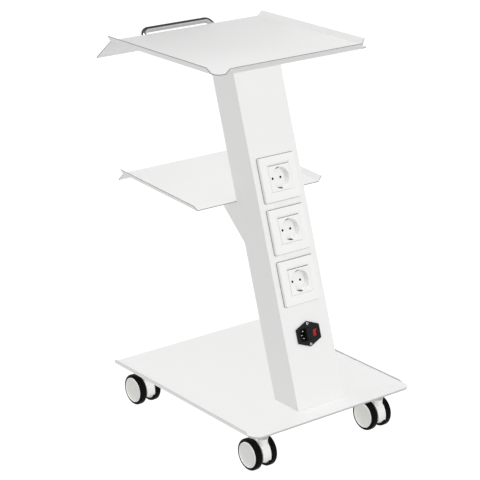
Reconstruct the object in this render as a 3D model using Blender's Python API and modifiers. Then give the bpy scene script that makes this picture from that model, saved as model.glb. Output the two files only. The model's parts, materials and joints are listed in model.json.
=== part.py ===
"""Rolling salon trolley: a steel base on four twin-wheel casters, a leaning box column with three
sockets and a mains inlet, a middle shelf and a top tray. Metres, +Z up, +Y towards the handle."""

from math import cos, pi, radians, sin, tan

import bmesh
import bpy
from mathutils import Matrix, Vector

GAP = 0.0003
WELD_GAP = 0.0008
SHEET = 0.0015
THROUGH = 0.03

# Base plate
BASE_WIDTH, BASE_DEPTH, BASE_THICK = 0.390, 0.460, 0.004
BASE_CORNER = 0.020
BASE_LIP_UP, BASE_LIP_THICK = 0.0025, 0.0022
BASE_LIP_START, BASE_LIP_RAMP = 0.026, 0.006
CASTER_HEIGHT = 0.090
BASE_TOP = CASTER_HEIGHT + BASE_THICK

# Top tray
TRAY_TOP = 0.753
TRAY_WIDTH, TRAY_DEPTH, TRAY_THICK = 0.358, 0.339, 0.002
TRAY_CORNER = 0.010
TRAY_WING, TRAY_WING_ANGLE = 0.067, radians(40)
LIP_OUT, LIP_UP = 0.008, 0.011
LIP_END = 0.008

# The whole depth runs from the base's socket-side edge to the tip of the tray's wing.
TRAY_FRONT_SETBACK = 0.1315
TRAY_FOLD_SETBACK = TRAY_FRONT_SETBACK + TRAY_DEPTH
WHOLE_DEPTH = TRAY_FOLD_SETBACK + TRAY_WING * cos(TRAY_WING_ANGLE)
FRONT_Y = -WHOLE_DEPTH / 2
BASE_CENTRE_Y = FRONT_Y + BASE_DEPTH / 2
TRAY_FRONT_Y = FRONT_Y + TRAY_FRONT_SETBACK
TRAY_FOLD_Y = FRONT_Y + TRAY_FOLD_SETBACK

# Column
LEAN = radians(18)
COLUMN_WIDTH = 0.114
COLUMN_DEPTH = 0.068
COLUMN_FOOT_Y = FRONT_Y + 0.042
COLUMN_RISE = TRAY_TOP - TRAY_THICK - BASE_TOP - 2 * GAP
COLUMN_RETURN = 0.010
END_PLATE = 0.003
FOOT_BOLT_X, FOOT_BOLT_SETBACK = 0.036, 0.036
BOLT_RADIUS, BOLT_LENGTH, BOLT_WASHER = 0.004, 0.020, 0.0055
BOLT_HEAD_RADIUS, BOLT_HEAD_THICK = 0.0072, 0.0053

# Middle shelf and its bracket
SHELF_WIDTH, SHELF_THICK = 0.297, 0.002
SHELF_TILT = radians(3)
SHELF_BACK_Z = 0.466
SHELF_DEPTH = 0.247
SHELF_LIP_UP = 0.010
SHELF_WING, SHELF_WING_ANGLE = 0.026, radians(48)
BRACKET_REACH, BRACKET_DROP, BRACKET_OVER = 0.0685, 0.078, 0.006

# Tray handle
HANDLE_TUBE = 0.006
HANDLE_SPAN = 0.168
HANDLE_RISE = 0.021
HANDLE_BEND = 0.015
HANDLE_ON_WING = 0.026
HANDLE_BORE, HANDLE_BORE_DEPTH = 0.0026, 0.010
HANDLE_SCREW_HEAD, HANDLE_SCREW_TOP, HANDLE_SCREW_THICK = 0.0047, 0.0030, 0.0032

# Sockets, measured up the column's sloping face
SOCKET_HEIGHTS = (0.443, 0.343, 0.243)
FRAME_SIZE, FRAME_PROUD, FRAME_CORNER = 0.086, 0.008, 0.004
INSERT_SIZE, INSERT_PROUD = 0.0494, 0.0072
INSERT_BARREL = 0.0225
RECESS_MOUTH, RECESS_FLOOR, RECESS_DEPTH = 0.021, 0.0195, 0.0125
CONTACT_PITCH, CONTACT_HOLE = 0.019, 0.0025
FLOOR_THICK = 0.0025
RECESS_OVER, BARREL_OVERLAP = 0.002, 0.003
SOCKET_CUTOUT = 0.0243
CLIP_WIDTH, CLIP_THICK = 0.0070, 0.0008
CLIP_REACH = 0.0207
CLIP_ARM = ((0.0040, 0.0), (0.0, 0.0024), (-0.0028, 0.0006))
NOTCH_HEIGHT, NOTCH_RISE, NOTCH_LENGTH = 0.006, 0.0024, 0.0045
MECHANISM_SIZE, MECHANISM_DEPTH = 0.046, 0.020

# Mains inlet
INLET_HEIGHT = 0.139
FLANGE_HALF_WIDTH, FLANGE_TIP, FLANGE_SHOULDER = 0.0285, 0.025, 0.0135
FLANGE_THICK = 0.0025
HOUSING_HALF_WIDTH, HOUSING_HALF_HEIGHT, HOUSING_DEPTH = 0.0235, 0.0135, 0.026
HOUSING_OVERLAP, FACE_OVER = 0.001, 0.002
INLET_SCREW_PITCH = 0.040
SCREW_HOLE, SCREW_SHANK, SCREW_HEAD = 0.0018, 0.0015, 0.0029
SCREW_CROWN, SCREW_EDGE, SCREW_DOME, SCREW_TIP = 0.0016, 0.0006, 0.0018, -0.006
CONNECTOR_X, CONNECTOR_DEPTH = -0.0135, 0.016
CONNECTOR_WIDTH, CONNECTOR_HEIGHT = 0.0167, 0.0244
CONNECTOR_CHAMFER = 0.0045
PIN_OFFSETS = {"line": (0.002, 0.007), "neutral": (0.002, -0.007), "earth": (-0.002, 0.0)}
PIN_WIDTH, PIN_THICK = 0.004, 0.002
PIN_SETBACK, PIN_TAIL = 0.0015, 0.006
DRAWER_X, DRAWER_WIDTH, DRAWER_HEIGHT, DRAWER_DEPTH = 0.0005, 0.008, 0.024, 0.020
DRAWER_PROUD, POCKET_OVER, POCKET_SHIFT = 0.0008, 0.001, 0.0018
PRY_SLOT, PRY_RISE = (0.004, 0.002, 0.0012), 0.002
FUSE_RADIUS, FUSE_LENGTH, FUSE_SETBACK = 0.0025, 0.020, 0.011
ROCKER_X, ROCKER_WIDTH, ROCKER_HALF_LENGTH = 0.015, 0.0085, 0.0072
ROCKER_PIVOT_DEPTH, ROCKER_TILT = 0.003, radians(10)
ROCKER_CROWN, ROCKER_DIP, ROCKER_FOOT, ROCKER_DRAFT = 0.0002, 0.0012, 0.0035, 0.001
ROCKER_SLOT_HALF, ROCKER_SLOT_DEPTH = 0.0081, 0.0095
TRUNNION, TRUNNION_REACH = 0.0012, 0.0008

# Casters
CASTER_X, CASTER_Y = 0.1445, 0.189
CASTER_TRAIL = 0.016
WHEEL_RADIUS, WHEEL_WIDTH = 0.0315, 0.0145
HUB_RADIUS, CAP_PROUD = 0.0255, 0.0006
RIM_WIDTH, RIM_ROUND, CAP_STEP, CAP_DISH = 0.0026, 0.0008, 0.001, 0.0006
TYRE_SHOULDER = 0.0030
HOOD_RADIUS, HOOD_HALF_WIDTH, HOOD_WALL = 0.0300, 0.0097, 0.0025
HOOD_START, HOOD_END = radians(-16), radians(150)
HOOD_WEB = 0.006
WEB_FOOT, AXLE_BOSS = -0.004, 0.0075
BOSS_RADIUS, BOSS_TOP = 0.0095, 0.066
WHEEL_INNER_X = HOOD_HALF_WIDTH + 0.0005
BOSS_FLOOR = 0.004
AXLE_RADIUS, AXLE_HALF = 0.003, 0.021
STEM_RADIUS, STEM_FOOT, STEM_TOP_RADIUS = 0.004, 0.050, 0.006
COLLAR_RADIUS, COLLAR_THICK = 0.0105, 0.003
NUT_RADIUS, NUT_THICK = 0.0098, 0.010
ROUND = 24

PARTS = "salon_trolley"
CUTTERS = "cutters"


def clear_scene():
    for obj in list(bpy.data.objects):
        bpy.data.objects.remove(obj)
    for name in (PARTS, CUTTERS):
        collection = bpy.data.collections.new(name)
        bpy.context.scene.collection.children.link(collection)


def material(name, colour, roughness, metallic=0.0):
    made = bpy.data.materials.new(name)
    made.use_nodes = True
    shader = made.node_tree.nodes["Principled BSDF"]
    shader.inputs["Base Color"].default_value = (*colour, 1)
    shader.inputs["Roughness"].default_value = roughness
    shader.inputs["Metallic"].default_value = metallic
    return made


def make_materials():
    return {
        "white_steel": material("white_powder_coat", (0.84, 0.84, 0.83), 0.42),
        "white_plastic": material("white_socket_plastic", (0.86, 0.86, 0.85), 0.28),
        "grey_plastic": material("warm_grey_plastic", (0.60, 0.61, 0.57), 0.38),
        "black_plastic": material("black_plastic", (0.015, 0.015, 0.016), 0.35),
        "red_plastic": material("red_rocker_plastic", (0.62, 0.01, 0.02), 0.25),
        "tyre": material("black_tyre", (0.008, 0.008, 0.009), 0.45),
        "stainless": material("stainless_steel", (0.62, 0.62, 0.61), 0.25, 1.0),
        "zinc": material("zinc_plated_steel", (0.55, 0.56, 0.57), 0.35, 1.0),
        "brass": material("nickelled_brass", (0.66, 0.62, 0.50), 0.3, 1.0),
        "glass": material("fuse_glass", (0.75, 0.78, 0.76), 0.1),
    }


def add(name, mesh, finish, parent=None, place=None, collection=PARTS):
    obj = bpy.data.objects.new(name, mesh)
    bpy.data.collections[collection].objects.link(obj)
    obj.parent = parent
    if place is not None:
        obj.matrix_basis = place
    if finish:
        mesh.materials.clear()
        mesh.materials.append(finish)
    return obj


def mesh_of(name, bm):
    bmesh.ops.recalc_face_normals(bm, faces=bm.faces)
    mesh = bpy.data.meshes.new(name)
    bm.to_mesh(mesh)
    bm.free()
    return mesh


def box_mesh(name, size, centre=(0, 0, 0)):
    bm = bmesh.new()
    bmesh.ops.create_cube(bm, size=1)
    bmesh.ops.scale(bm, vec=size, verts=bm.verts)
    bmesh.ops.translate(bm, vec=centre, verts=bm.verts)
    return mesh_of(name, bm)


def cylinder_mesh(name, radius, length, axis="Z", centre=(0, 0, 0), sides=ROUND, top_radius=None):
    bm = bmesh.new()
    top = radius if top_radius is None else top_radius
    bmesh.ops.create_cone(bm, cap_ends=True, segments=sides, radius1=radius, radius2=top, depth=length)
    if axis != "Z":
        turn = Matrix.Rotation(pi / 2, 3, "Y" if axis == "X" else "X")
        bmesh.ops.rotate(bm, cent=(0, 0, 0), matrix=turn, verts=bm.verts)
    bmesh.ops.translate(bm, vec=centre, verts=bm.verts)
    return mesh_of(name, bm)


def prism_mesh(name, outline, along):
    """A flat outline of 3-D points carried along a vector."""
    bm = bmesh.new()
    face = bm.faces.new([bm.verts.new(point) for point in outline])
    moved = bmesh.ops.extrude_face_region(bm, geom=[face])["geom"]
    bmesh.ops.translate(bm, vec=along, verts=verts_in(moved))
    return mesh_of(name, bm)


def verts_in(geometry):
    return [part for part in geometry if isinstance(part, bmesh.types.BMVert)]


def arc(centre, radius, start, end, steps):
    angles = [start + (end - start) * i / steps for i in range(steps + 1)]
    return [(centre[0] + radius * cos(a), centre[1] + radius * sin(a)) for a in angles]


def rounded_rectangle(width, depth, radius, steps=6):
    x, y = width / 2 - radius, depth / 2 - radius
    quarter = pi / 2
    corners = [((x, y), 0), ((-x, y), quarter), ((-x, -y), pi), ((x, -y), 3 * quarter)]
    return [p for centre, start in corners for p in arc(centre, radius, start, start + quarter, steps)]


def turned(name, profile, finish, parent=None, place=None, steps=ROUND, collection=PARTS):
    """A profile of (radius, height) points, down its outer side, turned about Z."""
    mesh = bpy.data.meshes.new(name)
    points = [(r, 0, z) for r, z in profile]
    edges = [(i, i + 1) for i in range(len(points) - 1)]
    if profile[0][0] > 0:
        edges.append((len(points) - 1, 0))
    mesh.from_pydata(points, edges, [])
    obj = add(name, mesh, finish, parent, place, collection)
    screw = obj.modifiers.new("Turn", "SCREW")
    screw.steps = screw.render_steps = steps
    screw.use_merge_vertices = True
    screw.merge_threshold = 0.00001
    screw.use_smooth_shade = True
    return obj


def cut(obj, cutter, operation="DIFFERENCE"):
    cutter.hide_render = True
    cutter.display_type = "WIRE"
    boolean = obj.modifiers.new("Cut" if operation == "DIFFERENCE" else "Join", "BOOLEAN")
    boolean.operation = operation
    boolean.solver = "EXACT"
    boolean.object = cutter


def cutter(name, mesh, parent=None, place=None):
    return add(name, mesh, None, parent, place, CUTTERS)


def soften(obj, width, segments=2):
    bevel = obj.modifiers.new("Round", "BEVEL")
    bevel.width = width
    bevel.segments = segments
    bevel.limit_method = "ANGLE"
    bevel.angle_limit = radians(50)


def thicken(obj, thickness, offset=-1):
    solid = obj.modifiers.new("Sheet", "SOLIDIFY")
    solid.thickness = thickness
    solid.offset = offset
    solid.solidify_mode = "NON_MANIFOLD"
    solid.nonmanifold_thickness_mode = "CONSTRAINTS"
    solid.nonmanifold_merge_threshold = 0.00001


def smooth(obj):
    obj.data.shade_smooth()
    obj.data.set_sharp_from_angle(angle=radians(35))


def column_place(height=0.0):
    """Axes on the column's front face: X across, -Y out of the face, Z up the slope."""
    foot = Matrix.Translation((0, COLUMN_FOOT_Y, BASE_TOP + GAP))
    return foot @ Matrix.Rotation(-LEAN, 4, "X") @ Matrix.Translation((0, 0, height))


def empty(name, place, parent=None):
    holder = bpy.data.objects.new(name, None)
    bpy.data.collections[PARTS].objects.link(holder)
    holder.empty_display_size = 0.02
    holder.parent = parent
    holder.matrix_basis = place
    return holder


def base_outline():
    """The base's plan: rounded front corners and square rear ones."""
    half, deep, r = BASE_WIDTH / 2, BASE_DEPTH / 2, BASE_CORNER
    left = arc((-half + r, -deep + r), r, pi, 3 * pi / 2, 6)
    right = arc((half - r, -deep + r), r, 3 * pi / 2, 2 * pi, 6)
    return [*left, *right, (half, deep), (-half, deep)]


def base_lip(side):
    """A low rim along one side, from behind the front corner to the rear edge, ramped at its front end."""
    start, end = -BASE_DEPTH / 2 + BASE_LIP_START, BASE_DEPTH / 2
    low, high = BASE_THICK / 2, BASE_THICK + BASE_LIP_UP
    profile = [(start, low), (start, BASE_THICK), (start + BASE_LIP_RAMP, high), (end, high), (end, low)]
    outline = [(side * BASE_WIDTH / 2, y, z) for y, z in profile]
    return prism_mesh("base_lip", outline, (-side * BASE_LIP_THICK, 0, 0))


def make_base(finish):
    place = Matrix.Translation((0, BASE_CENTRE_Y, CASTER_HEIGHT))
    mesh = prism_mesh("base_plate", [(x, y, 0) for x, y in base_outline()], (0, 0, BASE_THICK))
    base = add("base_plate", mesh, finish, place=place)
    smooth(base)
    for side in (-1, 1):
        cut(base, cutter(f"base_lip_{side}", base_lip(side), place=place), "UNION")
        cut(base, cutter(f"base_bolt_hole_{side}", bolt_hole(side)))


def foot_bolt(side, height):
    return side * FOOT_BOLT_X, COLUMN_FOOT_Y + FOOT_BOLT_SETBACK, height


def bolt_hole(side):
    return cylinder_mesh("bolt_hole", BOLT_RADIUS + GAP, THROUGH, centre=foot_bolt(side, BASE_TOP), sides=16)


def channel_outline():
    """Plan of the bent column sheet: a front, two sides and a short return on each side."""
    wall, half = SHEET / cos(LEAN), COLUMN_WIDTH / 2
    deep = COLUMN_DEPTH / cos(LEAN)
    inner = half - SHEET
    lap = deep - wall - GAP / cos(LEAN)
    left = [(-half, 0), (-half, deep), (-inner, deep), (-inner, lap)]
    left += [(-inner + COLUMN_RETURN, lap), (-inner + COLUMN_RETURN, lap - wall)]
    left += [(-inner, lap - wall), (-inner, wall)]
    right = [(-x, y) for x, y in reversed(left)]
    return left + right


def slope_vector(rise):
    return Vector((0, rise * tan(LEAN), rise))


def column_prism(name, outline, start, rise):
    """An outline in plan, carried up the column's slope from a height above its foot."""
    foot = Vector((0, COLUMN_FOOT_Y, BASE_TOP + GAP)) + slope_vector(start)
    return prism_mesh(name, [foot + Vector((x, y, 0)) for x, y in outline], slope_vector(rise))


def crosswise(half, near, far):
    return [(-half, near), (-half, far), (half, far), (half, near)]


def make_column(finish):
    """The bent sheet with a plate across its foot and its head, and the flat cover behind it."""
    wall, deep = SHEET / cos(LEAN), COLUMN_DEPTH / cos(LEAN)
    shell = add("column_shell", column_prism("column_shell", channel_outline(), 0, COLUMN_RISE), finish)
    plan = crosswise((COLUMN_WIDTH - SHEET) / 2, SHEET / 2, deep - 2 * wall - WELD_GAP)
    for name, start in (("foot", 0), ("head", COLUMN_RISE - END_PLATE)):
        plate = cutter(f"column_{name}_plate", column_prism(name, plan, start, END_PLATE))
        cut(shell, plate, "UNION")
    cut(shell, cutter("column_holes", column_holes()))
    for side in (-1, 1):
        cut(shell, cutter(f"foot_bolt_hole_{side}", bolt_hole(side)))
    cover_plan = crosswise(COLUMN_WIDTH / 2 - SHEET - GAP, deep - wall, deep)
    add("column_rear_cover", column_prism("column_rear_cover", cover_plan, 0, COLUMN_RISE), finish)


def column_holes():
    """One mesh with a round hole for each socket, and the inlet's opening and screw holes."""
    bm = bmesh.new()
    shapes = [(SOCKET_CUTOUT, height, 0, 40) for height in SOCKET_HEIGHTS]
    shapes += [(SCREW_HOLE, INLET_HEIGHT, side * INLET_SCREW_PITCH / 2, 12) for side in (-1, 1)]
    for radius, height, shift, sides in shapes:
        turn = column_place(height + shift) @ Matrix.Rotation(pi / 2, 4, "X")
        bmesh.ops.create_cone(
            bm, cap_ends=True, segments=sides, radius1=radius, radius2=radius, depth=THROUGH, matrix=turn
        )
    size = (2 * (HOUSING_HALF_WIDTH + GAP), THROUGH, 2 * (HOUSING_HALF_HEIGHT + GAP))
    bmesh.ops.create_cube(bm, size=1, matrix=column_place(INLET_HEIGHT) @ Matrix.Diagonal((*size, 1)))
    return mesh_of("column_holes", bm)


def make_foot_bolts(finish):
    radius, washer = BOLT_RADIUS, BOLT_WASHER
    profile = [(0, BOLT_LENGTH), (radius, BOLT_LENGTH), (radius, 0)]
    profile += [(washer, 0), (washer, -SHEET), (0, -SHEET)]
    middle = (0, 0, -(SHEET + BOLT_HEAD_THICK) / 2)
    for side, name in ((-1, "left"), (1, "right")):
        place = Matrix.Translation(foot_bolt(side, CASTER_HEIGHT - GAP))
        bolt = turned(f"foot_bolt_{name}", profile, finish, place=place, steps=16)
        hexagon = cylinder_mesh("bolt_head", BOLT_HEAD_RADIUS, BOLT_HEAD_THICK, centre=middle, sides=6)
        cut(bolt, cutter(f"foot_bolt_head_{name}", hexagon, place=place), "UNION")


def folded_sheet(name, bm, thickness, finish, place):
    """An open folded surface, upper side outwards, given its sheet thickness downwards."""
    mesh = bpy.data.meshes.new(name)
    bm.to_mesh(mesh)
    bm.free()
    sheet = add(name, mesh, finish, place=place)
    thicken(sheet, thickness)
    return sheet


def fold(bm, ends, shift, trim=0.0):
    """Folds a strip out of the edge between two points, with its free ends drawn in by trim."""
    ends = [Vector((*end, 0)) for end in ends]
    edge = min(bm.edges, key=lambda e: farthest(e, ends))
    verts = verts_in(bmesh.ops.extrude_edge_only(bm, edges=[edge])["geom"])
    inwards = (ends[1] - ends[0]).normalized() * trim
    for v in verts:
        nearer_start = (v.co - ends[0]).length < (v.co - ends[1]).length
        v.co += Vector(shift) + (inwards if nearer_start else -inwards)


def farthest(edge, ends):
    """How far an edge's ends are from two points, whichever way round they are."""
    a, b = (v.co for v in edge.verts)
    straight = (a - ends[0]).length + (b - ends[1]).length
    crossed = (a - ends[1]).length + (b - ends[0]).length
    return min(straight, crossed)


def tray_outline():
    """The tray's flat top: square rear corners, rounded front ones, and short runs clear of the lips."""
    half, r = TRAY_WIDTH / 2, TRAY_CORNER
    start, stop = (-half, r + LIP_END), (half, r + LIP_END)
    front = [(-half + r + LIP_END, 0), (half - r - LIP_END, 0)]
    left = arc((-half + r, r), r, pi, 3 * pi / 2, 5)
    right = arc((half - r, r), r, 3 * pi / 2, 2 * pi, 5)
    rear = [(half, TRAY_DEPTH), (-half, TRAY_DEPTH)]
    return [start, *left, *front, *right, stop, *rear], start, front, stop, rear


def make_tray(finish):
    outline, start, front, stop, rear = tray_outline()
    bm = bmesh.new()
    bm.faces.new([bm.verts.new((x, y, 0)) for x, y in outline])
    bm.normal_update()
    fold(bm, (start, rear[1]), (-LIP_OUT, 0, LIP_UP), LIP_OUT / 2)
    fold(bm, (stop, rear[0]), (LIP_OUT, 0, LIP_UP), LIP_OUT / 2)
    fold(bm, front, (0, -LIP_OUT, LIP_UP), LIP_OUT / 2)
    fold(bm, rear, (0, TRAY_WING * cos(TRAY_WING_ANGLE), -TRAY_WING * sin(TRAY_WING_ANGLE)))
    place = Matrix.Translation((0, TRAY_FRONT_Y, TRAY_TOP))
    tray = folded_sheet("top_tray", bm, TRAY_THICK, finish, place)
    for side in (-1, 1):
        hole = cylinder_mesh("screw_hole", HANDLE_BORE + GAP, THROUGH, sides=16)
        cut(tray, cutter(f"wing_hole_{side}", hole, place=handle_place(side)))


def wing_place():
    """Axes on the tray wing's upper face at the handle's line: Z out of the face, Y down the wing."""
    y = TRAY_FOLD_Y + HANDLE_ON_WING * cos(TRAY_WING_ANGLE)
    z = TRAY_TOP - HANDLE_ON_WING * sin(TRAY_WING_ANGLE)
    return Matrix.Translation((0, y, z)) @ Matrix.Rotation(-TRAY_WING_ANGLE, 4, "X")


def handle_place(side):
    return wing_place() @ Matrix.Translation((side * HANDLE_SPAN / 2, 0, 0))


def handle_bar():
    """The bent tube as a mesh, from a filled round curve."""
    half, r, top = HANDLE_SPAN / 2, HANDLE_BEND, HANDLE_RISE
    route = [(-half, GAP), *arc((-half + r, top - r), r, pi, pi / 2, 6)]
    route += [*arc((half - r, top - r), r, pi / 2, 0, 6), (half, GAP)]
    curve = bpy.data.curves.new("handle_route", "CURVE")
    curve.dimensions = "3D"
    curve.bevel_depth = HANDLE_TUBE
    curve.bevel_resolution = 3
    curve.use_fill_caps = True
    line = curve.splines.new("POLY")
    line.points.add(len(route) - 1)
    for point, (x, z) in zip(line.points, route):
        point.co = (x, 0, z, 1)
    bar = add("handle_route", curve, None, collection=CUTTERS)
    bpy.context.view_layer.update()
    mesh = bpy.data.meshes.new_from_object(bar.evaluated_get(bpy.context.evaluated_depsgraph_get()))
    bpy.data.objects.remove(bar)
    bm = bmesh.new()
    bm.from_mesh(mesh)
    bmesh.ops.remove_doubles(bm, verts=bm.verts, dist=0.00001)
    return mesh_of("tray_handle", bm)


def make_handle(steel, screws):
    handle = add("tray_handle", handle_bar(), steel, place=wing_place())
    smooth(handle)
    for side, name in ((-1, "left"), (1, "right")):
        bore = cylinder_mesh("bore", HANDLE_BORE, 2 * HANDLE_BORE_DEPTH, sides=16)
        cut(handle, cutter(f"handle_bore_{name}", bore, place=handle_place(side)))
        make_handle_screw(name, side, screws)


def make_handle_screw(name, side, finish):
    shank, head, under = HANDLE_BORE - GAP, HANDLE_SCREW_HEAD, -TRAY_THICK - GAP
    tip, low = HANDLE_BORE_DEPTH - WELD_GAP, under - HANDLE_SCREW_THICK
    rim = low + HANDLE_SCREW_THICK / 3
    profile = [(0, tip), (shank, tip), (shank, under), (head, under), (head, rim)]
    profile += [(HANDLE_SCREW_TOP, low), (0, low)]
    turned(f"handle_screw_{name}", profile, finish, place=handle_place(side), steps=16)


def shelf_back_y():
    """The column's rear face at the height of the middle shelf."""
    return COLUMN_FOOT_Y + (SHELF_BACK_Z - BASE_TOP) * tan(LEAN) + COLUMN_DEPTH / cos(LEAN)


def shelf_place():
    meet = Matrix.Translation((0, shelf_back_y() + WELD_GAP, SHELF_BACK_Z))
    return meet @ Matrix.Rotation(SHELF_TILT, 4, "X")


def make_shelf(finish):
    half = SHELF_WIDTH / 2
    back, front = [(-half, 0), (half, 0)], [(-half, SHELF_DEPTH), (half, SHELF_DEPTH)]
    bm = bmesh.new()
    bm.faces.new([bm.verts.new((x, y, 0)) for x, y in (back[0], back[1], front[1], front[0])])
    bm.normal_update()
    fold(bm, (back[0], front[0]), (-LIP_OUT, 0, SHELF_LIP_UP), LIP_OUT / 4)
    fold(bm, (back[1], front[1]), (LIP_OUT, 0, SHELF_LIP_UP), LIP_OUT / 4)
    fold(bm, front, (0, SHELF_WING * cos(SHELF_WING_ANGLE), -SHELF_WING * sin(SHELF_WING_ANGLE)))
    folded_sheet("middle_shelf", bm, SHELF_THICK, finish, shelf_place())


def make_bracket(finish):
    """A folded box gusset: two cheeks joined by a sloping front, trimmed to the column and the shelf."""
    meet = Vector((0, shelf_back_y(), SHELF_BACK_Z))
    foot = meet - slope_vector(BRACKET_DROP)
    nose = meet + BRACKET_REACH * Vector((0, 1, tan(SHELF_TILT)))
    over = (nose - foot).normalized() * BRACKET_OVER
    corner = meet + Vector((0, -BRACKET_OVER, BRACKET_OVER))
    across = Vector((COLUMN_WIDTH / 2, 0, 0))
    rims = [[p + side * across for p in (corner, foot - over, nose + over)] for side in (-1, 1)]
    bm = bmesh.new()
    left, right = ([bm.verts.new(point) for point in rim] for rim in rims)
    bm.faces.new(left[::-1])
    bm.faces.new(right)
    bm.faces.new((left[1], left[2], right[2], right[1]))
    bm.normal_update()
    bracket = folded_sheet("shelf_bracket", bm, SHEET, finish, Matrix.Identity(4))
    column = crosswise(COLUMN_WIDTH, 0, (COLUMN_DEPTH + GAP) / cos(LEAN))
    cut(bracket, cutter("bracket_column_trim", column_prism("trim", column, 0, COLUMN_RISE)))
    above = (0, 0, THROUGH / 2 - SHELF_THICK - GAP)
    trim = box_mesh("trim", (2 * COLUMN_WIDTH, 4 * BRACKET_REACH, THROUGH), above)
    cut(bracket, cutter("bracket_shelf_trim", trim, place=shelf_place()))


def make_socket(number, height, finishes):
    axes = empty(f"socket_{number}_axes", column_place(height))
    outline = [(x, 0, z) for x, z in rounded_rectangle(FRAME_SIZE, FRAME_SIZE, FRAME_CORNER, 3)]
    body = prism_mesh("socket_frame", outline, (0, GAP - FRAME_PROUD, 0))
    body.transform(Matrix.Translation((0, -GAP, 0)))
    frame = add(f"socket_{number}_frame", body, finishes["white_plastic"], axes)
    soften(frame, 0.0012)
    window = INSERT_SIZE + 2 * GAP
    cut(frame, cutter(f"frame_window_{number}", box_mesh("window", (window, THROUGH, window)), axes))
    make_insert(number, axes, finishes["white_plastic"])
    make_earth_clip(number, axes, finishes["brass"])
    depth = recess_back() + CLIP_THICK + 3 * GAP
    size = (MECHANISM_SIZE, MECHANISM_DEPTH, MECHANISM_SIZE)
    block = box_mesh("mechanism", size, (0, depth + MECHANISM_DEPTH / 2, 0))
    mechanism = add(f"socket_{number}_mechanism", block, finishes["black_plastic"], axes)
    soften(mechanism, 0.003)


def recess_back():
    """How far the back of the recess's floor lies behind the column's front face."""
    return RECESS_DEPTH - INSERT_PROUD + FLOOR_THICK


def make_insert(number, axes, finish):
    """The central plate with its round recess, contact holes and notches for the earth clip."""
    size, middle = (INSERT_SIZE, INSERT_PROUD - GAP, INSERT_SIZE), (0, -(INSERT_PROUD + GAP) / 2, 0)
    insert = add(f"socket_{number}_insert", box_mesh("insert", size, middle), finish, axes)
    length = recess_back() + BARREL_OVERLAP
    barrel = cylinder_mesh("barrel", INSERT_BARREL, length, "Y", (0, recess_back() - length / 2, 0), 36)
    cut(insert, cutter(f"insert_barrel_{number}", barrel, axes), "UNION")
    cut(insert, cutter(f"insert_recess_{number}", recess_mesh(), axes))
    for side in (-1, 1):
        centre = (side * CONTACT_PITCH / 2, recess_back(), 0)
        hole = cylinder_mesh("contact", CONTACT_HOLE, THROUGH / 2, "Y", centre, 14)
        cut(insert, cutter(f"insert_contact_{number}_{side}", hole, axes))
        deep = recess_back() + NOTCH_LENGTH
        size = (CLIP_WIDTH + 2 * GAP, deep, NOTCH_HEIGHT)
        middle = (0, recess_back() + GAP - deep / 2, side * (RECESS_FLOOR + NOTCH_RISE))
        notch = box_mesh("notch", size, middle)
        cut(insert, cutter(f"insert_notch_{number}_{side}", notch, axes))


def recess_mesh():
    """A tapered plug for the recess, run on past the insert's face."""
    mouth = RECESS_MOUTH + (RECESS_MOUTH - RECESS_FLOOR) * RECESS_OVER / RECESS_DEPTH
    middle = (0, (RECESS_DEPTH - RECESS_OVER) / 2 - INSERT_PROUD, 0)
    return cylinder_mesh("recess", RECESS_FLOOR, RECESS_DEPTH + RECESS_OVER, "Y", middle, 36, mouth)


def make_earth_clip(number, axes, finish):
    """A sprung strip that passes behind the recess's floor, with a contact arm at the top and bottom."""
    back = recess_back() + GAP + CLIP_THICK / 2
    arm = [(back, CLIP_REACH)] + [(y, CLIP_REACH - drop) for y, drop in CLIP_ARM]
    line = arm[::-1] + [(y, -z) for y, z in arm]
    bm = bmesh.new()
    verts = [bm.verts.new((-CLIP_WIDTH / 2, y, z)) for y, z in line]
    edges = [bm.edges.new(pair) for pair in zip(verts, verts[1:])]
    moved = bmesh.ops.extrude_edge_only(bm, edges=edges)["geom"]
    bmesh.ops.translate(bm, vec=(CLIP_WIDTH, 0, 0), verts=verts_in(moved))
    thicken(add(f"socket_{number}_earth_clip", mesh_of("earth_clip", bm), finish, axes), CLIP_THICK, 0)


def make_inlet(finishes):
    axes = empty("inlet_axes", column_place(INLET_HEIGHT))
    black = finishes["black_plastic"]
    side, tip, shoulder = FLANGE_HALF_WIDTH, FLANGE_TIP, FLANGE_SHOULDER
    half = [(0, tip), (-side, shoulder), (-side, -shoulder)]
    outline = half + [(-x, -z) for x, z in half]
    flange = prism_mesh("flange", [(x, -GAP, z) for x, z in outline], (0, -FLANGE_THICK, 0))
    housing = add("inlet_housing", flange, black, axes)
    soften(housing, 0.0007, 1)
    size = (2 * HOUSING_HALF_WIDTH, HOUSING_DEPTH + HOUSING_OVERLAP, 2 * HOUSING_HALF_HEIGHT)
    body = box_mesh("body", size, (0, (HOUSING_DEPTH - HOUSING_OVERLAP) / 2 - GAP, 0))
    cut(housing, cutter("inlet_body", body, axes), "UNION")
    cut_connector(housing, axes)
    cut_drawer_bay(housing, axes)
    cut_rocker_bay(housing, axes)
    for side, name in ((1, "top"), (-1, "bottom")):
        z = side * INLET_SCREW_PITCH / 2
        hole = cylinder_mesh("screw_hole", SCREW_HOLE, THROUGH, "Y", (0, 0, z), 12)
        cut(housing, cutter(f"flange_hole_{name}", hole, axes))
        make_inlet_screw(name, axes, z, finishes["zinc"])
    make_pins(axes, finishes["brass"])
    make_drawer(axes, finishes)
    make_rocker(axes, finishes["red_plastic"])


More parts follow.
